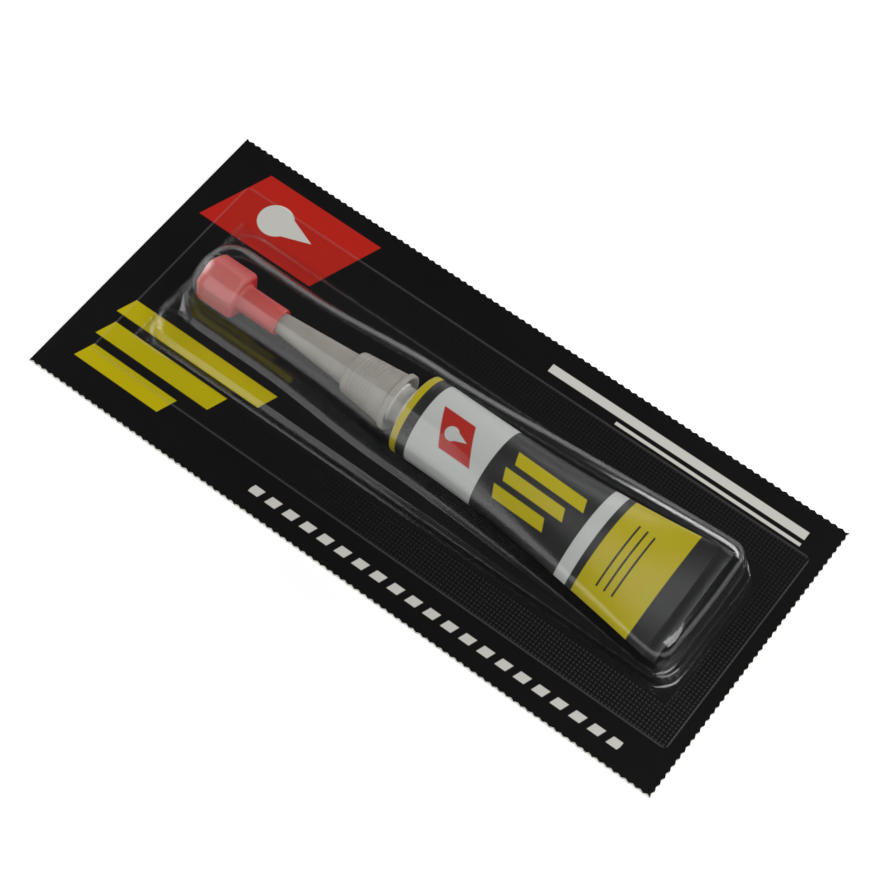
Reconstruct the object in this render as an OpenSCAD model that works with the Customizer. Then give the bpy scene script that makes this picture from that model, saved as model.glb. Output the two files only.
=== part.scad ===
// Super glue tube in its blister pack. A collapsible aluminium tube with a screw-on nozzle and a
// push-on cap lies under a clear thermoformed blister that is sealed to a printed backing card.
// Millimetres. X runs along the tube from the cap to the tail, Z is up from the card's underside.

/* [Tube] */
// Outside diameter of the round end of the body
tube_d = 13.5; // [12:0.5:16]
// Length of the body from the shoulder's edge to the tail fold
body_l = 50.5; // [42:0.5:65]
// Wall of the drawn aluminium
tube_wall = 0.2; // [0.15:0.05:0.3]
// How late the round body flattens towards the tail
flatten_power = 2; // [1.4:0.1:2.2]
// Thickness of the flattened body where it meets the fold
flat_t = 0.8; // [0.7:0.05:1.2]
// How far the flattened tail hangs below the tube's axis
tail_droop = 1.7; // [0:0.1:2]
// How far the flattened tail is rolled about the tube's axis, in degrees
tail_roll = 8; // [0:1:10]
// Length of the tail fold
fold_l = 2.2; // [1.5:0.1:4]
// Thickness of the tail fold
fold_t = 1.3; // [1.1:0.1:2]
// How far the shoulder's rolled edge stands proud of the body
bead_proud = 0.06; // [0.04:0.01:0.15]
// Length of the rolled edge
bead_l = 1.4; // [0.8:0.1:2.5]
// Length of the conical shoulder
shoulder_l = 1.3; // [1.2:0.1:3]
// Share of the body's length that the adhesive fills
fill_share = 0.5; // [0.3:0.02:0.85]
// Length of the sealing band in the tail
seal_l = 3; // [2:0.5:5]
// Gap between the tube's wall and what it holds
fill_gap = 0.05; // [0.03:0.01:0.1]

/* [Neck thread] */
// Diameter over the thread's crests
thread_d = 6.9; // [6:0.1:7.2]
// Depth of the thread
thread_depth = 0.3; // [0.2:0.05:0.4]
// Distance from one crest to the next
thread_pitch = 1.25; // [1:0.05:1.5]
// Number of crests
thread_turns = 4; // [3:1:5]
// Plain neck between the shoulder and the first crest
neck_plain_l = 1.4; // [1:0.1:2]
// Wall of the neck
neck_wall = 0.7; // [0.5:0.1:1]
// Membrane that closes the neck until it is pierced
membrane_t = 0.15; // [0.1:0.05:0.3]
// Radial clearance between the two threads
thread_clear = 0.08; // [0.05:0.01:0.1]

/* [Nozzle] */
// Length of the threaded collar
collar_l = 9.4; // [8.8:0.1:12]
// Diameter of the collar at its top
collar_top_d = 7.3; // [6.6:0.1:8]
// Diameter of the collar just above its rim
collar_low_d = 9; // [8.8:0.1:10]
// Diameter of the rim
rim_d = 9.9; // [9.5:0.1:11]
// Height of the rim
rim_l = 0.9; // [0.6:0.1:1.5]
// Gap left between the rim and the body until the nozzle is screwed down
screw_gap = 2.9; // [2.6:0.1:3.2]
// Depth of the flared mouth in the rim
mouth_l = 0.9; // [0.6:0.1:1.2]
// Wall of the rim at its mouth
mouth_wall = 0.5; // [0.4:0.1:0.7]
// Length of spout that shows between the collar and the cap
spout_l = 14.1; // [10:0.1:20]
// Diameter of the spout where it leaves the collar
spout_d = 5.6; // [5:0.1:6.2]
// Diameter of the spout where it enters the cap
spout_mouth_d = 3.5; // [3:0.05:3.7]
// Diameter of the spout's tip
tip_d = 1.7; // [1.5:0.05:2]
// Diameter of the channel for the adhesive
channel_d = 0.9; // [0.7:0.05:1]
// Distance from the piercing spike to the membrane
spike_gap = 0.3; // [0.2:0.05:0.5]
// Length of the piercing spike
spike_l = 2.2; // [1.8:0.1:2.4]
// Diameter of the spike at its root
spike_d = 2.6; // [2:0.1:3]

/* [Cap] */
// Distance across the corners of the six-sided head
cap_d = 8.6; // [7.4:0.1:9.2]
// Length of the head
cap_head_l = 7.1; // [5:0.1:8]
// Chamfer round both ends of the head
cap_chamfer = 0.6; // [0.4:0.1:0.8]
// Outside diameter of the skirt
skirt_d = 4.6; // [4.3:0.05:5]
// Length of the skirt
skirt_l = 7.6; // [6:0.1:11]
// Clearance between the cap and the spout
cap_clear = 0.06; // [0.04:0.01:0.1]
// Depth that the spout's tip reaches into the head
tip_reach = 2.3; // [1:0.1:2.5]
// Length of the plug that stops the channel
plug_l = 1.2; // [0.8:0.1:2]
// Turn of the head about the tube's axis
cap_turn = 55; // [0:1:59]

/* [Blister] */
// Thickness of the clear film
film_t = 0.3; // [0.2:0.05:0.4]
// Height of the low step that the bubble rises from
step_h = 2.7; // [2:0.1:3.2]
// Corner radius of the low step
step_r = 4; // [3:0.5:5]
// Ledge of the step beside the bubble at the tail
ledge_w = 0.8; // [0.7:0.1:2]
// Ledge of the step beyond each end of the bubble
ledge_l = 1.2; // [1:0.1:3]
// Room above the body
top_room = 0.6; // [0.5:0.1:1.2]
// Room above the cap
cap_top_room = 0.9; // [0.8:0.1:2]
// Room above the raised edge of the tail fold
tail_top_room = 2.2; // [1.8:0.1:3]
// Room beside the body
side_room = 1.4; // [1.2:0.1:2]
// Room beside the tail
tail_room = 1.2; // [1.1:0.1:2]
// Room beside the cap
cap_room = 2.4; // [2.2:0.1:4]
// Room beyond the cap
cap_end_room = 2.4; // [2.2:0.1:4]
// Room beyond the tail
tail_end_room = 2.2; // [2:0.1:4]
// Sealed flange beside the step
flange_side = 7.1; // [4:0.1:10]
// Sealed flange beyond each end of the step
flange_end = 5; // [3:0.1:8]

/* [Card] */
// Thickness of the backing card
card_t = 0.45; // [0.3:0.05:0.8]
// Card beyond the flange at the cap end
card_cap_margin = 6.2; // [3:0.1:15]
// Card beyond the flange at the tail end
card_tail_margin = 2.4; // [1.5:0.1:10]
// Card beside the flange
card_side_margin = 7.5; // [3:0.1:15]
// Distance between the teeth of the cut edge
tooth_pitch = 1.3; // [1:0.1:2]
// Depth of the teeth
tooth_depth = 0.3; // [0.15:0.05:0.5]
// How far the tube lies below the blister's middle line
tube_drop = 0.6; // [0:0.1:0.6]
// Clearance between the lying tube and the card
lie_gap = 0.1; // [0.05:0.05:0.2]

/* [Hidden] */

round_fn = 64;
loft_sides = 48;
loft_rings = 12;
end_points = 3;
corner_steps = 5;
side_steps = 18;
bubble_rings = 8;
top_angle = 84;
join_overlap = 0.3;
fold_round = 0.25;
seal_share = 0.92;
roll_share = 0.6;
taper_power = 1.7;
end_bow = 0.3;

tube_r = tube_d / 2;
flat_half_w = tube_r * PI / 2;
thread_r = thread_d / 2;
neck_bore_r = thread_r - thread_depth - neck_wall;
neck_l = neck_plain_l + thread_pitch * thread_turns;

tube_total = cap_head_l + skirt_l + spout_l + collar_l + screw_gap + body_l + fold_l;
bubble_l = tube_total + cap_end_room + tail_end_room + 2 * film_t;
step_l = bubble_l + 2 * ledge_l;
flange_l = step_l + 2 * flange_end;
bubble_tail_half = flat_half_w + tail_room + film_t;
step_w = 2 * (bubble_tail_half + ledge_w);
flange_w = step_w + 2 * flange_side;
card_l = flange_l + card_cap_margin + card_tail_margin;
card_w = flange_w + 2 * card_side_margin;

card_x0 = -card_l / 2;
flange_x0 = card_x0 + card_cap_margin;
step_x0 = flange_x0 + flange_end;
bubble_x0 = step_x0 + ledge_l;
cap_x = bubble_x0 + film_t + cap_end_room;
skirt_x = cap_x + cap_head_l;
spout_x = skirt_x + skirt_l;
collar_x = spout_x + spout_l;
rim_x = collar_x + collar_l;
body_x = rim_x + screw_gap;
fold_x = body_x + body_l;
tail_x = fold_x + fold_l;
bubble_x1 = bubble_x0 + bubble_l;
tip_x = skirt_x - tip_reach;
neck_x = body_x - shoulder_l - neck_l;

axis_z = card_t + lie_gap + tube_r + bead_proud;
axis_y = -tube_drop;
step_z = card_t + step_h;

cap_half_r = cap_d / 2;
bubble_cap_half = cap_half_r + cap_room + film_t;
bubble_body_half = tube_r + side_room + film_t;
bubble_cap_top = axis_z + cap_half_r + cap_top_room + film_t;
bubble_body_top = axis_z + tube_r + top_room + film_t;
bubble_tail_top = axis_z - tail_droop + flat_half_w * sin(tail_roll) + fold_t / 2 + tail_top_room + film_t;
cap_ridge_run = 5.5;
tail_ridge_run = 4;
cap_corner_r = 5.5;
tail_corner_r = 3;
flange_corner_r = 1;
step_wall_draft = 0.2;
step_edge_run = 0.5;
arch_power = 2.5;
tail_power = 5;

// Stands a shape made about Z along the tube's axis, with its Z as X
module along_tube() {
    translate([0, axis_y, axis_z]) rotate([0, 90, 0]) children();
}

function mix(a, b, t) = a + (b - a) * t;

// Faces that join rings of n points each into a skin
function skin(rings, n) = [
    for (i = [0 : rings - 2]) for (j = [0 : n - 1])
        let (k = (j + 1) % n)
            each [[i * n + j, (i + 1) * n + j, (i + 1) * n + k], [i * n + j, (i + 1) * n + k, i * n + k]]
];

// Share of the way from round to flat at a share u of the body's length
function squeeze(u, power) = pow(max(0, min(1, u)), power);

// Share of the way between two places, eased at both ends
function eased(x, x0, x1) =
    let (t = max(0, min(1, (x - x0) / (x1 - x0))))
        t * t * (3 - 2 * t);

// Place across the flattened section of the point at angle a, from 1 to -1 and back
function spread(a) = a <= 180 ? 1 - a / 90 : a / 90 - 3;

// Stands a point of the section at share u on the drooping and rolled body
function on_body(x, u, dy, dz) =
    let (t = tail_roll * eased(u, 0, roll_share), low = tail_droop * eased(u, 0, 1))
        [x, axis_y + dy * cos(t) - dz * sin(t), axis_z - low + dy * sin(t) + dz * cos(t)];

// Point of the body's section at share u and angle a, drawn in from the outside by inset
function body_point(u, a, inset) =
    let (s = squeeze(u, flatten_power), r = tube_r - inset)
        on_body(
            body_x + u * body_l,
            u,
            r * ((1 - s) * cos(a) + s * PI / 2 * spread(a)),
            (1 - s) * r * sin(a) + s * (flat_t / 2 - inset) * sign(sin(a))
        );

// Rings of the body between shares u0 and u1 of its length
function body_rings(u0, u1, inset) = [
    for (i = [0 : loft_rings]) [
        for (j = [0 : loft_sides - 1])
            body_point(mix(u0, u1, i / loft_rings), j * 360 / loft_sides, inset)
    ]
];

// Ring of the tail fold at x, drawn in at its edges by inset
function fold_ring(x, inset) = [
    for (j = [0 : loft_sides - 1])
        let (a = j * 360 / loft_sides)
            on_body(x, 1, flat_half_w * spread(a), (fold_t / 2 - inset) * sign(sin(a)))
];

function reversed(list) = [for (i = [len(list) - 1 : -1 : 0]) list[i]];

// A solid with a skin over rings of equally many points and a flat face at each end
module ring_solid(rings) {
    n = len(rings[0]);
    last = (len(rings) - 1) * n;
    polyhedron([for (ring = rings) each ring], concat(
        skin(len(rings), n),
        [[for (j = [0 : n - 1]) j]],
        [[for (j = [n - 1 : -1 : 0]) last + j]]
    ));
}

// Crests and roots of the thread as [radius, x] points, from the neck's mouth to its plain part
function thread_points(crest, root, x0) = [
    for (i = [0 : thread_turns - 1]) each [
        [root, x0 + (i + 0.1) * thread_pitch],
        [crest, x0 + (i + 0.35) * thread_pitch],
        [crest, x0 + (i + 0.55) * thread_pitch],
        [root, x0 + (i + 0.8) * thread_pitch]
    ]
];

// Points along one toothed edge from a to b, with its tips on the line and its roots inward
function toothed(a, b, inward) =
    let (n = max(1, round(norm(b - a) / tooth_pitch)))
        [for (i = [0 : n - 1]) each [a + (b - a) * i / n, a + (b - a) * (i + 0.5) / n + inward * tooth_depth]];

// The printed backing card, with a plain edge at the cap end and toothed edges elsewhere
module backing_card() {
    low_left = [-card_l / 2, -card_w / 2];
    low_right = [card_l / 2, -card_w / 2];
    high_right = [card_l / 2, card_w / 2];
    high_left = [-card_l / 2, card_w / 2];
    color("#1b1a1c") linear_extrude(card_t) polygon(concat(
        toothed(low_left, low_right, [0, 1]),
        toothed(low_right, high_right, [-1, 0]),
        toothed(high_right, high_left, [0, -1]),
        [high_left]
    ));
}

// Half width, height and squareness of the bubble at x
function bubble_half(x) = x < body_x
    ? mix(bubble_cap_half, bubble_body_half, eased(x, spout_x, body_x))
    : mix(bubble_body_half, bubble_tail_half, squeeze((x - body_x) / body_l, taper_power));
function bubble_top(x) = x < body_x
    ? mix(bubble_cap_top, bubble_body_top, eased(x, spout_x, body_x))
    : mix(bubble_body_top, bubble_tail_top, squeeze((x - body_x) / body_l, taper_power));
function bubble_power(x) = mix(arch_power, tail_power, eased(x, body_x, fold_x));

// Half of an outline on the +Y side, from the cap end's middle to the tail end's middle, whose ends
// bow outward by bow
function half_outline(x0, x1, side, r0, r1, bow) =
    let (c0 = x0 + bow + r0, c1 = x1 - bow - r1)
        concat(
            [for (i = [0 : end_points - 1])
                let (t = i / end_points)
                    [x0 + bow * t * t, (side[0] - r0) * t]],
            [for (i = [0 : corner_steps])
                let (a = 180 - 90 * i / corner_steps)
                    [c0 + r0 * cos(a), side[0] - r0 + r0 * sin(a)]],
            [for (i = [1 : side_steps - 1]) [mix(c0, c1, i / side_steps), side[i]]],
            [for (i = [0 : corner_steps])
                let (a = 90 - 90 * i / corner_steps)
                    [c1 + r1 * cos(a), side[side_steps] - r1 + r1 * sin(a)]],
            [for (i = [end_points - 1 : -1 : 0])
                let (t = i / end_points)
                    [x1 - bow * t * t, (side[side_steps] - r1) * t]]
        );

// Mirrors a half outline to a whole one, whose points i and n - i face each other
function whole(half) = concat(half, [for (i = [len(half) - 2 : -1 : 1]) [half[i].x, -half[i].y]]);

function straight_outline(x0, x1, half_w, r) =
    whole(half_outline(x0, x1, [for (i = [0 : side_steps]) half_w], r, r, 0));

function bubble_foot(inset) =
    let (x0 = bubble_x0 + inset, x1 = bubble_x1 - inset, r0 = cap_corner_r - inset, r1 = tail_corner_r - inset)
        whole(half_outline(
            x0, x1,
            [for (i = [0 : side_steps])
                bubble_half(mix(x0 + end_bow + r0, x1 - end_bow - r1, i / side_steps)) - inset],
            r0, r1, end_bow
        ));

function at_height(outline, z) = [for (p = outline) [p.x, p.y, z]];

// One ring of the bubble at angle phi, from its foot at 0 to its ridge at 90
function bubble_ring(foot, phi, inset) = [
    for (p = foot)
        let (
            ridge = [max(bubble_x0 + cap_ridge_run, min(bubble_x1 - tail_ridge_run, p.x)), 0],
            power = 2 / bubble_power(p.x),
            q = ridge + (p - ridge) * pow(cos(phi), power),
            low = step_z - inset
        )
            [q.x, q.y, low + (bubble_top(q.x) - inset - low) * pow(sin(phi), power)]
];

// Rings of one face of the film, from the flange up to the bubble's top
function film_rings(inset) =
    let (
        foot = bubble_foot(inset),
        x0 = step_x0 + inset,
        x1 = step_x0 + step_l - inset,
        half_w = step_w / 2 - inset,
        wall = step_wall_draft,
        edge = step_edge_run + step_wall_draft
    )
        concat(
            [
                at_height(straight_outline(x0, x1, half_w, step_r - inset), card_t + film_t - inset),
                at_height(
                    straight_outline(x0 + wall, x1 - wall, half_w - wall, step_r - inset),
                    step_z - inset - step_edge_run
                ),
                at_height(straight_outline(x0 + edge, x1 - edge, half_w - edge, step_r - inset), step_z - inset)
            ],
            [for (k = [0 : bubble_rings]) bubble_ring(foot, top_angle * k / bubble_rings, inset)]
        );

// Triangles that close a ring across its mirrored points
function across(start, n, up) = [
    for (i = [0 : n / 2 - 1])
        let (a = start + i, b = start + i + 1, c = start + n - i - 1, d = start + (n - i) % n)
            each concat(
                b == c ? [] : [up ? [a, b, c] : [a, c, b]],
                a == d ? [] : [up ? [a, c, d] : [a, d, c]]
            )
];

// The clear film: a sealed flange, a low step and a bubble that follows the tube
module blister_shell() {
    outside = film_rings(0);
    inside = film_rings(film_t);
    edge = straight_outline(flange_x0, flange_x0 + flange_l, flange_w / 2, flange_corner_r);
    rings = concat(
        reversed(outside),
        [at_height(edge, card_t + film_t), at_height(edge, card_t)],
        inside
    );
    n = len(edge);
    points = [for (ring = rings) each ring];
    faces = concat(across(0, n, true), skin(len(rings), n), across((len(rings) - 1) * n, n, false));
    color("#c8d0d4", 0.35) polyhedron(points, faces);
}

// Round rings about the tube's axis through [radius, x] points
function round_rings(profile) = [
    for (p = profile) [
        for (j = [0 : loft_sides - 1])
            let (a = j * 360 / loft_sides)
                [p.y, axis_y + p.x * cos(a), axis_z + p.x * sin(a)]
    ]
];

function moved_to(ring, x) = [for (p = ring) [x, p.y, p.z]];

// The aluminium tube in one drawn piece: a neck shut by its membrane, a shoulder with a rolled edge,
// and a body that flattens to a folded tail with a slit for the sealing band
module tube_shell() {
    root_r = thread_r - thread_depth;
    first = (bead_l + join_overlap) / body_l;
    outer_neck = round_rings(concat(
        [[root_r, neck_x]],
        thread_points(thread_r, root_r, neck_x),
        [
            [root_r, body_x - shoulder_l],
            [tube_r, body_x],
            [tube_r + bead_proud, body_x + bead_proud],
            [tube_r + bead_proud, body_x + bead_l]
        ]
    ));
    inner_body = body_rings(first, 1, tube_wall);
    inner_neck = round_rings([
        [tube_r - tube_wall, body_x + neck_wall],
        [neck_bore_r, body_x - shoulder_l + neck_wall],
        [neck_bore_r, neck_x + membrane_t]
    ]);
    color("#a9abad") ring_solid(concat(
        outer_neck,
        body_rings(first, 1, 0),
        [
            fold_ring(fold_x + fold_round, 0),
            fold_ring(tail_x - fold_round, 0),
            fold_ring(tail_x, fold_round),
            moved_to(inner_body[loft_rings], tail_x)
        ],
        reversed(inner_body),
        inner_neck
    ));
}

// The band of sealing compound pinched in the tail
module end_seal() {
    seal_half_w = (tube_r - tube_wall) * PI / 2 * seal_share;
    seal_t = flat_t - 2 * tube_wall - 2 * fill_gap;
    color("#d9cfae") translate([fold_x - seal_l, axis_y, axis_z - tail_droop]) rotate([tail_roll, 0, 0])
        translate([0, -seal_half_w, -seal_t / 2]) cube([seal_l + fold_l - fold_round, 2 * seal_half_w, seal_t]);
}

// The liquid adhesive in the body
module adhesive() {
    first = (bead_l + join_overlap) / body_l;
    color("#e9ecd8", 0.6) ring_solid(body_rings(first, fill_share, tube_wall + fill_gap));
}

// The nozzle: a tapered spout, a threaded collar and a hollow spike that pierces the membrane
module nozzle() {
    channel_r = channel_d / 2;
    spike_x = neck_x - spike_gap;
    web_x = spike_x - spike_l;
    root_r = thread_r + thread_clear;
    crest_r = root_r - thread_depth;
    color("#b4b1aa") along_tube() rotate_extrude($fn = round_fn) polygon(concat(
        [
            [channel_r, tip_x],
            [tip_d / 2, tip_x],
            [spout_mouth_d / 2, spout_x],
            [spout_d / 2, collar_x],
            [collar_top_d / 2, collar_x],
            [collar_low_d / 2, rim_x - rim_l],
            [rim_d / 2, rim_x - rim_l],
            [rim_d / 2, rim_x],
            [rim_d / 2 - mouth_wall, rim_x],
            [root_r, rim_x - mouth_l]
        ],
        [for (i = [4 * thread_turns - 1 : -1 : 0])
            let (p = thread_points(root_r, crest_r, neck_x)[i])
                if (p.y < rim_x - mouth_l) p],
        [
            [root_r, neck_x],
            [root_r, web_x],
            [spike_d / 2, web_x],
            [channel_r, spike_x]
        ]
    ));
}

// The push-on cap: a six-sided head, a slim skirt over the spout and a plug for the channel
module cap() {
    bore_tip_r = tip_d / 2 + cap_clear;
    bore_mouth_r = spout_mouth_d / 2 + cap_clear;
    plug_r = channel_d / 2 - cap_clear;
    color("#c8484a") along_tube() {
        difference() {
            union() {
                intersection() {
                    translate([0, 0, cap_x]) rotate([0, 0, cap_turn])
                        cylinder(h = cap_head_l, r = cap_half_r, $fn = 6);
                    rotate_extrude($fn = round_fn) polygon([
                        [0, cap_x],
                        [cap_half_r - cap_chamfer, cap_x],
                        [cap_half_r, cap_x + cap_chamfer],
                        [cap_half_r, skirt_x - cap_chamfer],
                        [cap_half_r - cap_chamfer, skirt_x],
                        [0, skirt_x]
                    ]);
                }
                translate([0, 0, skirt_x - cap_chamfer])
                    cylinder(h = skirt_l + cap_chamfer, d = skirt_d, $fn = round_fn);
            }
            rotate_extrude($fn = round_fn) polygon([
                [0, tip_x - cap_clear],
                [bore_tip_r, tip_x - cap_clear],
                [bore_mouth_r, spout_x],
                [bore_mouth_r, spout_x + join_overlap],
                [0, spout_x + join_overlap]
            ]);
        }
        translate([0, 0, tip_x - join_overlap])
            cylinder(h = plug_l + join_overlap, r = plug_r, $fn = round_fn);
    }
}

backing_card();
blister_shell();
tube_shell();
end_seal();
adhesive();
nozzle();
cap();
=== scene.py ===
"""A super glue tube in its blister pack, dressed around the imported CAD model.

The card, the adhesive and the seal keep their CAD solids. The clear blister, the printed tube, the nozzle
and the cap are drawn finer here and stand for their CAD nodes. Lengths are in millimetres and become metres
in loft().
"""

import math

import bmesh
import bpy
from mathutils import Matrix, Vector


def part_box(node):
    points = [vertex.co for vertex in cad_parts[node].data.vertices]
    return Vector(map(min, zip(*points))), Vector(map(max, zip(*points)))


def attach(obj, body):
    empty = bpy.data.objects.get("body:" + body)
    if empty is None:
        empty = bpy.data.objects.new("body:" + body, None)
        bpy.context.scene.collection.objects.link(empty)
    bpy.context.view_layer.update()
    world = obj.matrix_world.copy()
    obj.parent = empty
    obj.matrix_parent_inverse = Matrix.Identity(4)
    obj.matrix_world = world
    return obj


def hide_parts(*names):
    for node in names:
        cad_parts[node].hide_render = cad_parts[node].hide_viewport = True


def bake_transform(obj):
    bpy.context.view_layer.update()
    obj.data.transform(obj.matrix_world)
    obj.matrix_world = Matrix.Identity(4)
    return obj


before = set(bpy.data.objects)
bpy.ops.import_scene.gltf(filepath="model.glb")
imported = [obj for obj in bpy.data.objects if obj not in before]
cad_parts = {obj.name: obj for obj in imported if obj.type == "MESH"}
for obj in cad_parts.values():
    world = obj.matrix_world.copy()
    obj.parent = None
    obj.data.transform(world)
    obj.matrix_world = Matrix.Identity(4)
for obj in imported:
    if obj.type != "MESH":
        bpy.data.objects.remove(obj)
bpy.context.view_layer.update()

MM = 0.001


def corners(node):
    """A CAD node's lowest and highest corners in millimetres."""
    return [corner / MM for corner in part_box(node)]


# Places of the pieces, from the frame

film_low, film_high = corners("blister_shell")
tube_low, tube_high = corners("tube_shell")
nozzle_low, nozzle_high = corners("nozzle")
cap_low, cap_high = corners("cap")

CARD_TOP = film_low.z
AXIS_Y = (nozzle_low.y + nozzle_high.y) / 2
AXIS_Z = (nozzle_low.z + nozzle_high.z) / 2
CAP_X = cap_low.x
TIP_X = nozzle_low.x
SPOUT_X = cap_high.x
NECK_X = tube_low.x
RIM_X = nozzle_high.x
TAIL_X = tube_high.x
FLANGE_X = (film_low.x, film_high.x)
FLANGE_MID = sum(FLANGE_X) / 2
FLANGE_HALF = film_high.y

# Sizes inside those boxes, as in the CAD model

FILM = 0.3
TUBE_R = 6.75
SKIRT_X = TIP_X + 2.3
COLLAR_X = -16.1
BODY_X = -3.8
BODY_L = 50.5
FOLD_X = BODY_X + BODY_L
FLATTEN_POWER = 2.0
TAPER_POWER = 1.7
TAIL_DROOP = 1.7
TAIL_ROLL = math.radians(8.0)
ROLL_SHARE = 0.6
FLAT_T = 0.8
FOLD_T = 1.3

# Angle round the tube's axis from +Y that faces the camera
FACING = math.radians(115.0)


def mix(a, b, t):
    return a + (b - a) * t


def eased(value, low, high):
    t = max(0.0, min(1.0, (value - low) / (high - low)))
    return t * t * (3 - 2 * t)


def srgb(red, green, blue):
    """A screen colour of 0 to 255 as the linear colour that shaders take."""
    parts = [c / 255 for c in (red, green, blue)]
    return tuple(c / 12.92 if c <= 0.04045 else ((c + 0.055) / 1.055) ** 2.4 for c in parts) + (1.0,)


class Wire:
    """A socket of a finish. Python's operators on it add Math nodes."""

    def __init__(self, finish, socket):
        self.finish = finish
        self.socket = socket

    def maths(self, operation, first, second=0.0, clamp=False):
        settings = {"operation": operation, "use_clamp": clamp}
        return self.finish.node("ShaderNodeMath", settings, {0: first, 1: second})

    def __add__(self, other):
        return self.maths("ADD", self, other)

    def __radd__(self, other):
        return self.maths("ADD", other, self)

    def __sub__(self, other):
        return self.maths("SUBTRACT", self, other)

    def __rsub__(self, other):
        return self.maths("SUBTRACT", other, self)

    def __mul__(self, other):
        return self.maths("MULTIPLY", self, other)

    def __rmul__(self, other):
        return self.maths("MULTIPLY", other, self)

    def __truediv__(self, other):
        return self.maths("DIVIDE", self, other)

    def __pow__(self, other):
        return self.maths("POWER", self, other)

    def __abs__(self):
        return self.maths("ABSOLUTE", self)

    def __mod__(self, other):
        return self.maths("FLOORED_MODULO", self, other)

    def clamped(self):
        return self.maths("ADD", self, 0.0, clamp=True)

    def above(self, edge, soft):
        """0 below the edge and 1 above it, over a width of soft."""
        return self.maths("ADD", (self - edge) / soft, 0.5, clamp=True)

    def between(self, low, high, soft):
        return self.above(low, soft) * (1 - self.above(high, soft))

    def within(self, half, soft):
        """1 up to half on either side of 0."""
        return 1 - abs(self).above(half, soft)

    def most(self, other):
        return self.maths("MAXIMUM", self, other)

    def sine(self):
        return self.maths("SINE", self)


class Finish:
    """A procedural material on Object coordinates, in millimetres."""

    def __init__(self, name):
        self.material = bpy.data.materials.new(name)
        self.material.use_nodes = True
        self.tree = self.material.node_tree
        self.tree.nodes.clear()
        self.output = self.tree.nodes.new("ShaderNodeOutputMaterial")
        place = self.node("ShaderNodeTexCoord", {}, {}, "Object")
        self.place = self.node("ShaderNodeVectorMath", {"operation": "SCALE"}, {0: place, "Scale": 1 / MM})
        self.x = self.node("ShaderNodeSeparateXYZ", {}, {0: self.place}, "X")
        self.y = self.node("ShaderNodeSeparateXYZ", {}, {0: self.place}, "Y")
        self.z = self.node("ShaderNodeSeparateXYZ", {}, {0: self.place}, "Z")

    def node(self, kind, settings, sockets, output=0):
        """Adds a node, with its settings made before its sockets are given values or links."""
        made = self.tree.nodes.new(kind)
        for name, value in settings.items():
            setattr(made, name, value)
        for name, value in sockets.items():
            if isinstance(value, Wire):
                self.tree.links.new(value.socket, made.inputs[name])
            else:
                made.inputs[name].default_value = value
        return Wire(self, made.outputs[output])

    def noise(self, scale, detail=2.0, roughness=0.5, stretch=None):
        """Noise of so many cells to the millimetre, from 0 to 1."""
        where = self.place
        if stretch is not None:
            where = self.node("ShaderNodeVectorMath", {"operation": "MULTIPLY"}, {0: where, 1: stretch})
        sockets = {"Vector": where, "Scale": scale, "Detail": detail, "Roughness": roughness}
        return self.node("ShaderNodeTexNoise", {}, sockets)

    def tint(self, mask, under, over):
        """The colour over, where the mask is 1, on the colour under."""
        return self.node("ShaderNodeMix", {"data_type": "RGBA"}, {0: mask, 6: under, 7: over}, 2)

    def bump(self, height, distance, strength):
        sockets = {"Strength": strength, "Distance": distance * MM, "Height": height}
        return self.node("ShaderNodeBump", {}, sockets)

    def mixed(self, factor, first, second):
        return self.node("ShaderNodeMixShader", {}, {0: factor, 1: first, 2: second})

    def principled(self, **sockets):
        named = {name.replace("_", " "): value for name, value in sockets.items()}
        return self.node("ShaderNodeBsdfPrincipled", {}, named)

    def done(self, shader):
        self.tree.links.new(shader.socket, self.output.inputs["Surface"])
        return self.material


def loft(rings, closed=True):
    """A bmesh skin through rings of equally many points in millimetres, made by extruding a circle."""
    count = len(rings[0])
    bm = bmesh.new()
    loop = bmesh.ops.create_circle(bm, segments=count, radius=1.0)["verts"]
    for vert, point in zip(loop, rings[0]):
        vert.co = Vector(point) * MM
    if closed:
        bmesh.ops.contextual_create(bm, geom=loop)
    for ring in rings[1:]:
        edges = [bm.edges.get((loop[i], loop[(i + 1) % count])) for i in range(count)]
        fresh = set(bmesh.ops.extrude_edge_only(bm, edges=edges)["geom"])
        loop = [next(e.other_vert(v) for e in v.link_edges if e.other_vert(v) in fresh) for v in loop]
        for vert, point in zip(loop, ring):
            vert.co = Vector(point) * MM
    if closed:
        bmesh.ops.contextual_create(bm, geom=loop)
    return bm


def shaped(name, bm, material, nodes, smooth_angle=40):
    """Makes the bmesh a piece that stands for CAD nodes and takes a slot's finish."""
    bmesh.ops.remove_doubles(bm, verts=bm.verts, dist=0.002 * MM)
    bmesh.ops.recalc_face_normals(bm, faces=bm.faces)
    for edge in bm.edges:
        edge.smooth = edge.calc_face_angle(math.pi) < math.radians(smooth_angle)
    for face in bm.faces:
        face.smooth = True
    mesh = bpy.data.meshes.new(name)
    bm.to_mesh(mesh)
    bm.free()
    mesh.materials.append(material)
    piece = bpy.data.objects.new(name, mesh)
    bpy.context.scene.collection.objects.link(piece)
    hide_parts(*nodes)
    return piece


def angles(count):
    return [2 * math.pi * i / count for i in range(count)]


def turned(profile, count, ribs=0):
    """Rings about the tube's axis through (x, radius) points, or (x, radius, rib height) points."""
    return [
        [
            (x, AXIS_Y + (r + sum(rib) * math.cos(ribs * a)) * math.cos(a),
             AXIS_Z + (r + sum(rib) * math.cos(ribs * a)) * math.sin(a))
            for a in angles(count)
        ]
        for x, r, *rib in profile
    ]


def arc(x, r, radius, start, end, steps=5):
    """Profile points on a rounding about (x, r), in degrees from the +X direction towards larger radii."""
    turns = [math.radians(mix(start, end, i / steps)) for i in range(steps + 1)]
    return [(x + radius * math.cos(t), r + radius * math.sin(t)) for t in turns]


# The camera, solved from the card's corners in the photograph

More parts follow.
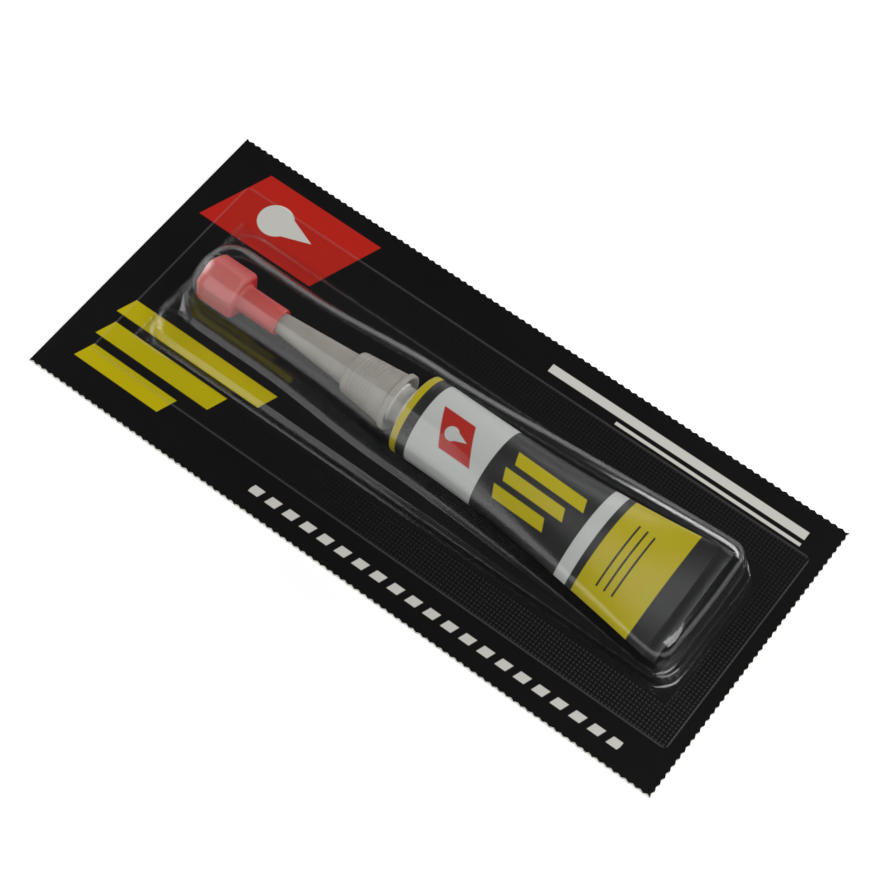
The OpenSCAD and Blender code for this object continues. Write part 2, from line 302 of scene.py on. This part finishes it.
IMAGE_SIDE = 870
FOCAL_PIXELS = 2480.0
AZIMUTH = math.radians(32.34)
ELEVATION = math.radians(60.88)
ROLL = math.radians(5.204)
EYE = Vector((100.50, -159.04, 341.56)) * MM

away = Vector((
    math.cos(ELEVATION) * math.sin(AZIMUTH),
    -math.cos(ELEVATION) * math.cos(AZIMUTH),
    math.sin(ELEVATION),
))
level_right = Vector((math.cos(AZIMUTH), math.sin(AZIMUTH), 0.0))
level_up = away.cross(level_right)
image_right = level_right * math.cos(ROLL) + level_up * math.sin(ROLL)
image_up = level_up * math.cos(ROLL) - level_right * math.sin(ROLL)

camera_data = bpy.data.cameras.new("camera")
camera_data.sensor_fit = "HORIZONTAL"
camera_data.sensor_width = 36.0
camera_data.lens = FOCAL_PIXELS / IMAGE_SIDE * camera_data.sensor_width
camera_data.clip_start = 0.01
camera = bpy.data.objects.new("camera", camera_data)
bpy.context.scene.collection.objects.link(camera)
turn = Matrix((image_right, image_up, away)).transposed()
camera.matrix_world = Matrix.Translation(EYE) @ turn.to_4x4()
bpy.context.scene.camera = camera
bpy.context.scene.view_settings.view_transform = "Standard"


# Finishes

WHITE = (1.0, 1.0, 1.0, 1.0)
RED_INK = srgb(186, 36, 26)
YELLOW_INK = srgb(197, 180, 6)
PAPER_WHITE = srgb(212, 210, 203)
ENAMEL_WHITE = srgb(206, 207, 204)
LINE_INK = srgb(48, 46, 30)

# Softness of a printed edge
PRINT_EDGE = 0.12

# Print on the card: (x, y) places from its middle and half sizes
CARD_SLANT = 0.35
PANEL = ((-43.0, 17.5), (11.5, 6.6))
PANEL_DROP = (-46.0, 17.5)
PANEL_DROP_R = 3.1
CARD_BARS = {"first": (-40.0, -10.2), "step": (-3.0, -5.2), "half": (14.5, 1.75), "shorter": 3.0}
RULE_END = 55.0
RULES = ((22.9, 0.8, 6.0), (21.0, 0.3, 20.0))
DASH_ROW = (-18.0, 52.0)
DASH_Y = -23.6
DASH_HALF_W = 0.75
DASH_PITCH = 3.4
DASH_SPAN = (0.5, 2.5)

# Print on the tube: places along X, and across the side that faces the camera
WHITE_BAND = (-0.9, 11.8)
WHITE_STRIPE = (28.7, 31.0)
YELLOW_TAIL = (32.2, 43.3)
YELLOW_RING_END = -2.65
EMBLEM = ((5.4, -0.6), (2.9, 2.9))
EMBLEM_SLANT = 0.5
EMBLEM_DROP = (4.6, -0.6)
EMBLEM_DROP_R = 1.15
TUBE_SLANT = 0.4
TUBE_BARS = {"first": (20.9, -3.2), "step": (-0.9, 3.0), "half": (6.2, 1.0), "shorter": 0.8}
TAIL_LINES = (35.2, 36.6, 38.0)
TAIL_LINE_HALF = (0.16, 5.6)

# The film's seal: half length and half width at which its dots and its cut edge begin
SEAL_FROM = (51.8, 13.9)
CUT_FROM = (FLANGE_X[1] - FLANGE_MID - 0.25, 19.75)
DOT_PITCH = 1.3


def drop(across, along, radius):
    """1 inside a drop that is round at the low end of along and comes to a point at its high end."""
    length = radius * 2.4
    round_part = 1 - ((across * across + along * along) ** 0.5).above(radius, 0.15)
    width = radius * 0.92 * (1 - along / length)
    point = (1 - (abs(across) - width).above(0.0, 0.15)) * along.between(radius * 0.38, length, 0.1)
    return round_part.most(point)


def slanted(x, y, centre, half, slant):
    """1 inside a bar with slanted ends."""
    across = y - centre[1]
    along = x - centre[0] - across * slant
    return along.within(half[0], 0.14) * across.within(half[1], 0.14)


def bars(x, y, slant, first, step, half, shorter):
    """1 inside three slanted bars, each shorter than the one before."""
    centres = [(first[0] + step[0] * i, first[1] + step[1] * i) for i in range(3)]
    sizes = [(half[0] - shorter * i, half[1]) for i in range(3)]
    made = [slanted(x, y, centre, size, slant) for centre, size in zip(centres, sizes)]
    return made[0].most(made[1]).most(made[2])


def card_finish():
    """Coated board: ink on its face, a grey back and a white core on its cut edges."""
    f = Finish("printed_card")
    ink = f.tint(f.noise(0.06, 3.0), srgb(12, 11, 13), srgb(18, 17, 19))
    ink = f.tint(slanted(f.x, f.y, *PANEL, CARD_SLANT), ink, RED_INK)
    ink = f.tint(drop(f.y - PANEL_DROP[1], f.x - PANEL_DROP[0], PANEL_DROP_R), ink, PAPER_WHITE)
    ink = f.tint(bars(f.x, f.y, CARD_SLANT, **CARD_BARS), ink, YELLOW_INK)
    for y, half, start in RULES:
        rule = f.x.between(start, RULE_END, 0.1) * (f.y - y).within(half, PRINT_EDGE)
        ink = f.tint(rule, ink, PAPER_WHITE)
    dashes = ((f.x - f.y * CARD_SLANT) % DASH_PITCH).between(*DASH_SPAN, PRINT_EDGE)
    row = f.x.between(*DASH_ROW, 0.1) * (f.y - DASH_Y).within(DASH_HALF_W, PRINT_EDGE)
    ink = f.tint(dashes * row, ink, PAPER_WHITE)
    core = f.tint(f.noise(1.6, 4.0, 0.6), srgb(196, 193, 186), srgb(226, 223, 216))
    back = f.tint(f.noise(0.9, 5.0, 0.65), srgb(150, 147, 140), srgb(176, 172, 164))
    normal = f.node("ShaderNodeNewGeometry", {}, {}, "Normal")
    upward = f.node("ShaderNodeSeparateXYZ", {}, {0: normal}, "Z")
    printed = upward.above(0.5, 0.1)
    colour = f.tint(printed, core, ink)
    colour = f.tint((0 - upward).above(0.5, 0.1), colour, back)
    rough = 0.75 - printed * 0.4 + f.noise(0.4, 4.0) * 0.08
    grain = f.bump(f.noise(0.9, 5.0, 0.6), 0.02, 0.35)
    return f.done(f.principled(Base_Color=colour, Roughness=rough, Normal=grain, Specular_IOR_Level=0.2))


def beyond(f, half, soft):
    """1 outside a rectangle about the middle of the flange."""
    return abs(f.x - FLANGE_MID).above(half[0], soft).most(abs(f.y).above(half[1], soft))


def film_finish():
    """Clear film: mirror-like at a slant, with a dotted seal on its flange, wrinkles by the cap, and
    painted light that makes the seal dots paler towards the tail and the near side.
    """
    f = Finish("clear_film")
    flange = 1 - f.z.above(CARD_TOP + FILM + 0.12, 0.08)
    seal = flange * beyond(f, SEAL_FROM, 0.4)
    dot_turn = math.tau / DOT_PITCH
    dots = ((f.x + f.y) * dot_turn).sine() * ((f.x - f.y) * dot_turn).sine()
    cap_end = 1 - f.x.above(-36.0, 18.0)
    crumpled = 1 - f.x.above(-43.5, 5.0)
    wrinkle = f.noise(0.32, 2.0, 0.5, (0.6, 1.6, 1.0)) + f.noise(1.0, 3.0, 0.6) * crumpled * 3.0
    ripple = f.noise(0.11, 1.5, 0.4, (0.5, 1.3, 1.3))
    formed = wrinkle * (0.05 + cap_end * 0.5) + ripple * 0.5
    normal = f.bump(dots * seal * 0.05 + formed * (1 - seal), 0.35, 0.55)
    facing = f.node("ShaderNodeLayerWeight", {}, {"Blend": 0.5, "Normal": normal}, "Facing")
    mirror = 0.045 - seal * 0.035 + 0.8 * facing ** 6.0
    gloss = f.node("ShaderNodeBsdfGlossy", {}, {"Color": WHITE, "Roughness": 0.13, "Normal": normal})
    clear = f.node("ShaderNodeBsdfTransparent", {}, {"Color": (0.985, 0.99, 0.99, 1.0)})
    film = f.mixed(mirror.clamped(), clear, gloss)
    cut = beyond(f, CUT_FROM, 0.1)
    # Painted light: the seal's dots are painted paler towards the tail and on the near side, where light
    # falls on them.
    to_the_tail = f.x.above(15.0, 50.0)
    to_the_near_side = 1.6 - f.y.above(0.0, 20.0)
    painted_dot_light = 0.003 + to_the_tail * to_the_near_side * 0.01
    pressed_dots_with_painted_light = seal * dots.above(0.35, 0.3) * painted_dot_light
    haze = f.node("ShaderNodeBsdfDiffuse", {}, {"Color": (0.8, 0.8, 0.8, 1.0)})
    return f.done(f.mixed(cut * 0.03 + pressed_dots_with_painted_light, film, haze))


def tube_finish():
    """Enamelled aluminium: printed bands round the body, bare metal on the neck and shoulder."""
    f = Finish("printed_tube")
    u = ((f.x - BODY_X) / BODY_L).clamped()
    dy = f.y - AXIS_Y
    dz = f.z - AXIS_Z + TAIL_DROOP * u * u * (3 - 2 * u)
    across = 0 - dy * math.sin(FACING) + dz * math.cos(FACING)
    front = (dy * math.cos(FACING) + dz * math.sin(FACING)).above(0.2, 0.2)
    ink = f.tint(f.noise(0.15, 3.0), srgb(28, 28, 29), srgb(40, 39, 40))
    ink = f.tint(f.x.between(*WHITE_BAND, PRINT_EDGE), ink, ENAMEL_WHITE)
    ink = f.tint(front * slanted(f.x, across, *EMBLEM, EMBLEM_SLANT), ink, RED_INK)
    emblem_drop = drop(across - EMBLEM_DROP[1], f.x - EMBLEM_DROP[0], EMBLEM_DROP_R)
    ink = f.tint(front * emblem_drop, ink, ENAMEL_WHITE)
    ink = f.tint(front * bars(f.x, across, TUBE_SLANT, **TUBE_BARS), ink, YELLOW_INK)
    ink = f.tint(f.x.between(*WHITE_STRIPE, PRINT_EDGE), ink, ENAMEL_WHITE)
    ring = 1 - f.x.above(YELLOW_RING_END, 0.1)
    ink = f.tint(f.x.between(*YELLOW_TAIL, PRINT_EDGE).most(ring), ink, YELLOW_INK)
    for x in TAIL_LINES:
        line = (f.x - x).within(TAIL_LINE_HALF[0], 0.08) * across.within(TAIL_LINE_HALF[1], 0.1)
        ink = f.tint(line * front, ink, LINE_INK)
    bare = 1 - f.x.above(BODY_X - 0.08, 0.06)
    brushed = f.noise(2.2, 3.0, 0.6, (3.0, 0.4, 0.4))
    metal = f.tint(brushed, srgb(226, 225, 220), srgb(250, 249, 245))
    colour = f.tint(bare, ink, metal)
    rough = 0.36 + f.noise(0.5, 3.0) * 0.1 - bare * 0.16
    dents = f.noise(0.16, 2.0, 0.5)
    normal = f.bump(dents + f.noise(1.4, 3.0) * 0.04, 0.25, 0.35)
    return f.done(f.principled(Base_Color=colour, Roughness=rough, Metallic=bare * 0.25, Normal=normal))


def nozzle_finish():
    """Natural polyethylene, cloudy and a little waxy."""
    f = Finish("nozzle_polyethylene")
    cloud = f.noise(0.35, 3.0, 0.5, (0.5, 1.0, 1.0))
    colour = f.tint(cloud, srgb(152, 147, 138), srgb(186, 182, 173))
    normal = f.bump(f.noise(1.2, 3.0), 0.03, 0.4)
    rough = 0.4 + f.noise(0.8, 2.0) * 0.12
    return f.done(f.principled(
        Base_Color=colour, Roughness=rough, Normal=normal,
        Subsurface_Weight=0.35, Subsurface_Radius=(1.0, 0.95, 0.85), Subsurface_Scale=1.2 * MM,
    ))


def cap_finish():
    """Translucent red polyethylene, with painted light: paler pink on its top and on the side facing the
    camera.
    """
    f = Finish("cap_polyethylene")
    cloud = f.noise(0.4, 3.0)
    colour = f.tint(cloud, srgb(198, 38, 40), srgb(212, 60, 58))
    # Painted light: a pale pink wash on the cap's top and camera side, where light would shine through.
    painted_light_side = (f.z - AXIS_Z) * 0.9 - (f.y - AXIS_Y) * 0.43
    colour = f.tint(painted_light_side.above(1.8, 3.2) * 0.48, colour, srgb(230, 158, 152))
    normal = f.bump(f.noise(1.4, 3.0), 0.03, 0.4)
    rough = 0.3 + f.noise(0.8, 2.0) * 0.12
    return f.done(f.principled(
        Base_Color=colour, Roughness=rough, Normal=normal,
        Subsurface_Weight=0.4, Subsurface_Radius=(1.0, 0.35, 0.3), Subsurface_Scale=1.5 * MM,
    ))


def adhesive_finish():
    """Clear liquid with a faint straw tint."""
    f = Finish("clear_adhesive")
    colour = f.tint(f.noise(0.2, 2.0), srgb(226, 226, 204), srgb(238, 238, 222))
    rough = 0.06 + f.noise(0.3, 2.0) * 0.05
    return f.done(f.principled(Base_Color=colour, Roughness=rough, Alpha=0.6))


def seal_finish():
    """Dried latex."""
    f = Finish("dried_latex")
    colour = f.tint(f.noise(0.8, 4.0), srgb(204, 190, 150), srgb(222, 212, 178))
    rough = 0.55 + f.noise(1.0, 3.0) * 0.2
    return f.done(f.principled(Base_Color=colour, Roughness=rough))


# The card, the adhesive and the seal keep their CAD solids

def dressed(node, material):
    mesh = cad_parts[node].data
    mesh.materials.clear()
    mesh.materials.append(material)


dressed("backing_card", card_finish())
dressed("adhesive", adhesive_finish())
dressed("end_seal", seal_finish())


# The clear blister: pairs are sizes at its cap end and its tail end, threes are at cap, shoulder and tail

FLANGE_Z = CARD_TOP + FILM
FLANGE_R = 1.0
FLANGE_SHARES = (0.04, 0.2, 0.4, 0.6, 0.8)
STEP_X = (-48.8, 52.6)
STEP_HALF = 12.9
STEP_R = 4.0
STEP_Z = CARD_TOP + 2.7
STEP_FLARE = 0.5
BUBBLE_X = (-47.6, 51.4)
BUBBLE_HALVES = (7.0, 8.45, 12.103)
BUBBLE_TOPS = (12.86, film_high.z, 10.286)
CAP_CORNER_R = 5.5
TAIL_CORNER_R = 3.0
END_BOW = 0.3
RIDGE_RUNS = (5.5, 4.0)
ARCH_POWERS = (2.5, 5.0)
END_POINTS = 3
CORNER_STEPS = 7
SIDE_STEPS = 44
ARCH_STEPS = 8
EDGE_R = 1.9
EDGE_TURNS = (5, 20, 35, 50, 65, 80, 90)
FOOT_R = 1.7
FOOT_TURNS = (0, 15, 30, 45, 60, 80)
FIRST_ARCH = 2
SOLIDIFY_ROOM = 0.03


def squeeze(u, power):
    return max(0.0, min(1.0, u)) ** power


def along_bubble(x, values):
    """A size of the bubble at x, from its sizes at the cap, the shoulder and the tail."""
    if x < BODY_X:
        return mix(values[0], values[1], eased(x, SPOUT_X, BODY_X))
    return mix(values[1], values[2], squeeze((x - BODY_X) / BODY_L, TAPER_POWER))


def outline(x0, x1, half_width, r0, r1, bow=0.0):
    """An outline with rounded corners, whose points i and count - i face each other across X."""
    c0 = x0 + bow + r0
    c1 = x1 - bow - r1
    w0 = half_width(c0)
    w1 = half_width(c1)
    ends = [i / END_POINTS for i in range(END_POINTS)]
    corner = [math.pi / 2 * i / CORNER_STEPS for i in range(CORNER_STEPS + 1)]
    sides = [mix(c0, c1, i / SIDE_STEPS) for i in range(1, SIDE_STEPS)]
    half = [(x0 + bow * t * t, (w0 - r0) * t) for t in ends]
    half += [(c0 - r0 * math.cos(a), w0 - r0 + r0 * math.sin(a)) for a in corner]
    half += [(x, half_width(x)) for x in sides]
    half += [(c1 + r1 * math.sin(a), w1 - r1 + r1 * math.cos(a)) for a in corner]
    half += [(x1 - bow * t * t, (w1 - r1) * t) for t in reversed(ends)]
    return half + [(x, -y) for x, y in reversed(half[1:-1])]


def level(points, z):
    return [(x, y, z) for x, y in points]


def straight(x_range, half, radius, out):
    """An outline of even width, moved outward."""
    return outline(x_range[0] - out, x_range[1] + out, lambda x: half + out, radius + out, radius + out)


def bubble_foot():
    def half_width(x):
        return along_bubble(x, BUBBLE_HALVES)
    return outline(*BUBBLE_X, half_width, CAP_CORNER_R, TAIL_CORNER_R, END_BOW)


def edge_ring(wall, foot, turn):
    """One ring of the step's rounded edge, from upright at 0 to level at 90 degrees."""
    ring = []
    for (x, y), (fx, fy) in zip(wall, foot):
        ledge = math.hypot(fx - x, fy - y)
        r = min(EDGE_R, 0.45 * ledge)
        t = r / ledge * (1 - math.cos(math.radians(turn)))
        ring.append((mix(x, fx, t), mix(y, fy, t), STEP_Z - r * (1 - math.sin(math.radians(turn)))))
    return ring


def foot_ring(wall, foot, turn):
    """One ring of the hollow at the bubble's foot, from level at 0 to upright at 90 degrees."""
    ring = []
    for (x, y), (fx, fy) in zip(wall, foot):
        ledge = math.hypot(fx - x, fy - y)
        r = min(FOOT_R, 0.4 * ledge)
        t = r / ledge * (1 - math.sin(math.radians(turn)))
        ring.append((mix(fx, x, t), mix(fy, y, t), STEP_Z + r * (1 - math.cos(math.radians(turn)))))
    return ring


def arch_ring(foot, k):
    """One ring of the bubble, from its foot at k = 0 to its ridge at k = 2 * ARCH_STEPS."""
    ring = []
    for x, y in foot:
        power = mix(*ARCH_POWERS, eased(x, BODY_X, FOLD_X))
        diagonal = 0.5 ** (1 / power)
        if k <= ARCH_STEPS:
            rise = diagonal * k / ARCH_STEPS
            reach = (1 - rise ** power) ** (1 / power)
        else:
            reach = diagonal * (2 - k / ARCH_STEPS)
            rise = (1 - reach ** power) ** (1 / power)
        ridge = max(BUBBLE_X[0] + RIDGE_RUNS[0], min(BUBBLE_X[1] - RIDGE_RUNS[1], x))
        at = mix(ridge, x, reach)
        ring.append((at, y * reach, mix(STEP_Z, along_bubble(at, BUBBLE_TOPS), rise)))
    return ring


def blister():
    flange = straight(FLANGE_X, FLANGE_HALF, FLANGE_R, 0.0)
    base = straight(STEP_X, STEP_HALF, STEP_R, STEP_FLARE)
    wall = straight(STEP_X, STEP_HALF, STEP_R, 0.0)
    foot = bubble_foot()
    rings = [level(flange, FLANGE_Z)]
    for t in FLANGE_SHARES:
        rings.append([(mix(a[0], b[0], t), mix(a[1], b[1], t), FLANGE_Z) for a, b in zip(flange, base)])
    for out, up in ((STEP_FLARE, 0.0), (0.18, 0.1), (0.02, 0.4)):
        rings.append(level(straight(STEP_X, STEP_HALF, STEP_R, out), FLANGE_Z + up))
    rings += [edge_ring(wall, foot, turn) for turn in EDGE_TURNS]
    rings += [foot_ring(wall, foot, turn) for turn in FOOT_TURNS]
    rings += [arch_ring(foot, k) for k in range(FIRST_ARCH, 2 * ARCH_STEPS + 1)]
    bm = loft(rings, closed=False)
    piece = shaped("blister_film", bm, film_finish(), ["blister_shell"], 80)
    fine = piece.modifiers.new("fine", "SUBSURF")
    fine.levels = 1
    fine.render_levels = 1
    thick = piece.modifiers.new("wall", "SOLIDIFY")
    thick.thickness = (FILM - SOLIDIFY_ROOM) * MM
    thick.offset = -1.0
    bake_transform(piece)


# The aluminium tube

THREAD_R = 3.45
THREAD_DEPTH = 0.3
THREAD_PITCH = 1.25
THREAD_TURNS = 4
SHOULDER_L = 1.3
ROUND_L = 2.0
TUBE_SIDES = 96
TUBE_RINGS = 44


def body_ring(x, u, flat_t=FLAT_T):
    """The section at x, round where u is 0 and flat, drooping and rolled where u is 1."""
    s = squeeze(u, FLATTEN_POWER)
    roll = TAIL_ROLL * eased(u, 0.0, ROLL_SHARE)
    low = TAIL_DROOP * eased(u, 0.0, 1.0)
    ring = []
    for a in angles(TUBE_SIDES):
        degrees = math.degrees(a)
        across = 1 - degrees / 90 if degrees <= 180 else degrees / 90 - 3
        flat = flat_t / 2 * (1 - abs(across) ** 12) ** 0.5 * (1 if degrees < 180 else -1)
        dy = TUBE_R * ((1 - s) * math.cos(a) + s * math.pi / 2 * across)
        dz = (1 - s) * TUBE_R * math.sin(a) + s * flat
        ring.append((
            x,
            AXIS_Y + dy * math.cos(roll) - dz * math.sin(roll),
            AXIS_Z - low + dy * math.sin(roll) + dz * math.cos(roll),
        ))
    return ring


def tube():
    root = THREAD_R - THREAD_DEPTH
    shoulder_x = BODY_X - SHOULDER_L
    profile = [(NECK_X, root - 0.3), (NECK_X + 0.1, root)]
    for i in range(THREAD_TURNS):
        x = NECK_X + i * THREAD_PITCH
        profile += [(x + 0.15, root), (x + 0.42, THREAD_R), (x + 0.7, THREAD_R), (x + 1.0, root)]
    profile += [(shoulder_x - 0.35, root), (shoulder_x + 0.02, root + 0.3)]
    rolled_edge = (
        (-0.12, -0.22), (0.0, -0.04), (0.14, 0.05), (1.1, 0.055), (1.4, 0.03), (1.6, -0.01),
    )
    profile += [(BODY_X + along, TUBE_R + proud) for along, proud in rolled_edge]
    rings = turned(profile, TUBE_SIDES)
    for i in range(TUBE_RINGS + 1):
        u = mix(ROUND_L / BODY_L, 1.0, i / TUBE_RINGS)
        rings.append(body_ring(BODY_X + u * BODY_L, u))
    fold_start = [(FOLD_X + 0.08, 0.1), (FOLD_X + 0.2, 0.0)]
    fold_end = [(TAIL_X - 0.35, 0.0), (TAIL_X - 0.1, 0.25), (TAIL_X, 0.75)]
    rings += [body_ring(x, 1.0, FOLD_T - thin) for x, thin in fold_start + fold_end]
    piece = shaped("tube_body", loft(rings), tube_finish(), ["tube_shell"])
    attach(piece, "tube")


# The nozzle and its cap

NOZZLE_SIDES = 288
CHANNEL_R = 0.45
TIP_RS = (0.7, 0.85)
SPOUT_RS = (1.75, 2.78)
COLLAR_RS = (3.65, 4.5)
COLLAR_ROUND = 0.55
COLLAR_RINGS = 8
RING_PITCH = 0.62
COLLAR_RIBS = 72
RIBS_FROM_RIM = ((3.35, 0.0), (3.2, 0.04), (1.25, 0.045), (1.1, 0.0))
RIM_R = (nozzle_high.z - nozzle_low.z) / 2
RIM_L = 0.9
SPIKE_L = 2.2
SPIKE_RS = (1.3, 0.5)
SPIKE_ROOM = 0.3
THREAD_ROOM = 0.08


def collar_radius(x):
    return mix(*COLLAR_RS, (x - COLLAR_X) / (RIM_X - RIM_L - COLLAR_X))


def nozzle():
    spike_x = NECK_X - SPIKE_ROOM
    web_x = spike_x - SPIKE_L
    bore_r = THREAD_R + THREAD_ROOM
    profile = [(TIP_X, CHANNEL_R), (TIP_X, TIP_RS[0]), (TIP_X + 0.15, TIP_RS[1]), (SPOUT_X, SPOUT_RS[0])]
    profile += [(mix(SPOUT_X, COLLAR_X, t), mix(*SPOUT_RS, t)) for t in (0.25, 0.5, 0.75, 0.95)]
    profile += [(COLLAR_X - 0.08, SPOUT_RS[1] + 0.08), (COLLAR_X, 3.0)]
    profile += arc(COLLAR_X + COLLAR_ROUND, COLLAR_RS[0] - COLLAR_ROUND, COLLAR_ROUND, 180, 90)
    for i in range(COLLAR_RINGS):
        x = COLLAR_X + 1.0 + RING_PITCH * i
        r = collar_radius(x)
        profile += [(x, r), (x + 0.22, r), (x + 0.3, r - 0.07), (x + 0.5, r - 0.05)]
    for back, rib in RIBS_FROM_RIM:
        profile.append((RIM_X - back, collar_radius(RIM_X - back) - 0.05, rib))
    rim_x = RIM_X - RIM_L
    profile += [(rim_x - 0.02, COLLAR_RS[1]), (rim_x, RIM_R - 0.1)]
    profile += [(rim_x + 0.12, RIM_R), (RIM_X - 0.12, RIM_R), (RIM_X, RIM_R - 0.12)]
    profile += [(RIM_X, COLLAR_RS[1]), (RIM_X - 0.05, COLLAR_RS[1] - 0.08), (rim_x, bore_r)]
    profile += [(web_x, bore_r), (web_x, SPIKE_RS[0]), (spike_x, SPIKE_RS[1])]
    profile += [(spike_x, CHANNEL_R), (TIP_X, CHANNEL_R)]
    bm = loft(turned(profile, NOZZLE_SIDES, COLLAR_RIBS), closed=False)
    piece = shaped("nozzle_spout", bm, nozzle_finish(), ["nozzle"], 50)
    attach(piece, "nozzle")


CAP_SIDES = 96
CAP_R = 4.3
HEX_SHARPNESS = 18
FRONT_ROUND = 0.9
BACK_ROUND = 0.8
SKIRT_R = 2.3
BORE_X = TIP_X - 0.06
BORE_RS = (0.91, 1.81)
THIRDS = (0.33, 0.66, 1.0)


def cap_ring(x, r, six_sided):
    """A ring of the cap, from round at 0 to a rounded hexagon at 1."""
    ring = []
    for a in angles(CAP_SIDES):
        spread = sum(abs(math.cos(a - FACING - k * math.pi / 3)) ** HEX_SHARPNESS for k in range(3))
        radius = r * mix(1.0, math.cos(math.pi / 6) * spread ** (-1 / HEX_SHARPNESS), six_sided)
        ring.append((x, AXIS_Y + radius * math.cos(a), AXIS_Z + radius * math.sin(a)))
    return ring


def cap():
    front_x = CAP_X + FRONT_ROUND
    back_x = SKIRT_X - BACK_ROUND
    skirt_start = SKIRT_X + 0.9
    skirt_end = SPOUT_X - 0.2
    head = [(CAP_X, r) for r in (0.9, 1.9, 2.9)]
    head += reversed(arc(front_x, CAP_R - FRONT_ROUND, FRONT_ROUND, 90, 165, 6))
    head += [(mix(front_x, back_x, t), CAP_R) for t in THIRDS]
    head += arc(back_x, CAP_R - BACK_ROUND, BACK_ROUND, 75, 10, 5)
    skirt = [(SKIRT_X + 0.4, SKIRT_R + 0.02), (skirt_start, SKIRT_R - 0.01)]
    skirt += [(mix(skirt_start, skirt_end, t), SKIRT_R - 0.01) for t in THIRDS]
    skirt += [(SPOUT_X, SKIRT_R - 0.12), (SPOUT_X, BORE_RS[1] + 0.06), (SPOUT_X - 0.1, BORE_RS[1])]
    skirt += [(BORE_X, BORE_RS[0]), (BORE_X, CHANNEL_R)]
    rings = [cap_ring(x, r, 1.0) for x, r in head]
    rings += [cap_ring(SKIRT_X, 2.9, 0.6), cap_ring(SKIRT_X + 0.08, SKIRT_R + 0.22, 0.15)]
    rings += [cap_ring(x, r, 0.0) for x, r in skirt]
    piece = shaped("cap_knob", loft(rings), cap_finish(), ["cap"], 50)
    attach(piece, "cap")


blister()
tube()
nozzle()
cap()


# Floor and light, in metres and watts

FLOOR_HALF = 1.5
FLOOR_Z = -0.05 * MM
FLOOR_GLOW = 0.32
WORLD_STRENGTH = 0.04


def floor_finish():
    f = Finish("pale_floor")
    colour = f.tint(f.noise(0.004, 2.0), (0.88, 0.88, 0.88, 1.0), (0.9, 0.9, 0.9, 1.0))
    return f.done(f.principled(
        Base_Color=colour, Roughness=0.8, Emission_Color=WHITE, Emission_Strength=FLOOR_GLOW,
    ))


floor_bm = bmesh.new()
bmesh.ops.create_grid(floor_bm, x_segments=1, y_segments=1, size=FLOOR_HALF)
bmesh.ops.translate(floor_bm, verts=floor_bm.verts, vec=(0, 0, FLOOR_Z))
floor_mesh = bpy.data.meshes.new("floor")
floor_bm.to_mesh(floor_mesh)
floor_bm.free()
floor_mesh.materials.append(floor_finish())
floor = bpy.data.objects.new("floor", floor_mesh)
bpy.context.scene.collection.objects.link(floor)


def softbox(name, place, aim, size, power):
    """A rectangular lamp at a place that faces a point."""
    lamp = bpy.data.lights.new(name, "AREA")
    lamp.shape = "RECTANGLE"
    lamp.size = size[0]
    lamp.size_y = size[1]
    lamp.energy = power
    stand = bpy.data.objects.new(name, lamp)
    stand.location = place
    stand.rotation_euler = (Vector(aim) - Vector(place)).to_track_quat("-Z", "Y").to_euler()
    bpy.context.scene.collection.objects.link(stand)


world = bpy.data.worlds.new("studio")
world.use_nodes = True
background = world.node_tree.nodes["Background"]
background.inputs["Color"].default_value = WHITE
background.inputs["Strength"].default_value = WORLD_STRENGTH
bpy.context.scene.world = world

softbox("left", (-0.72, 0.0, 0.34), (0, 0, 0), (0.5, 0.5), 2.8)
softbox("right", (0.45, -0.04, 0.60), (0, 0, 0), (0.62, 0.62), 4.0)
softbox("behind", (0.12, 0.60, 0.24), (0, 0, 0.01), (0.34, 0.12), 1.1)
softbox("near", (-0.305, -0.46, 0.31), (-0.305, 0, 0.01), (0.3, 0.72), 0.62)
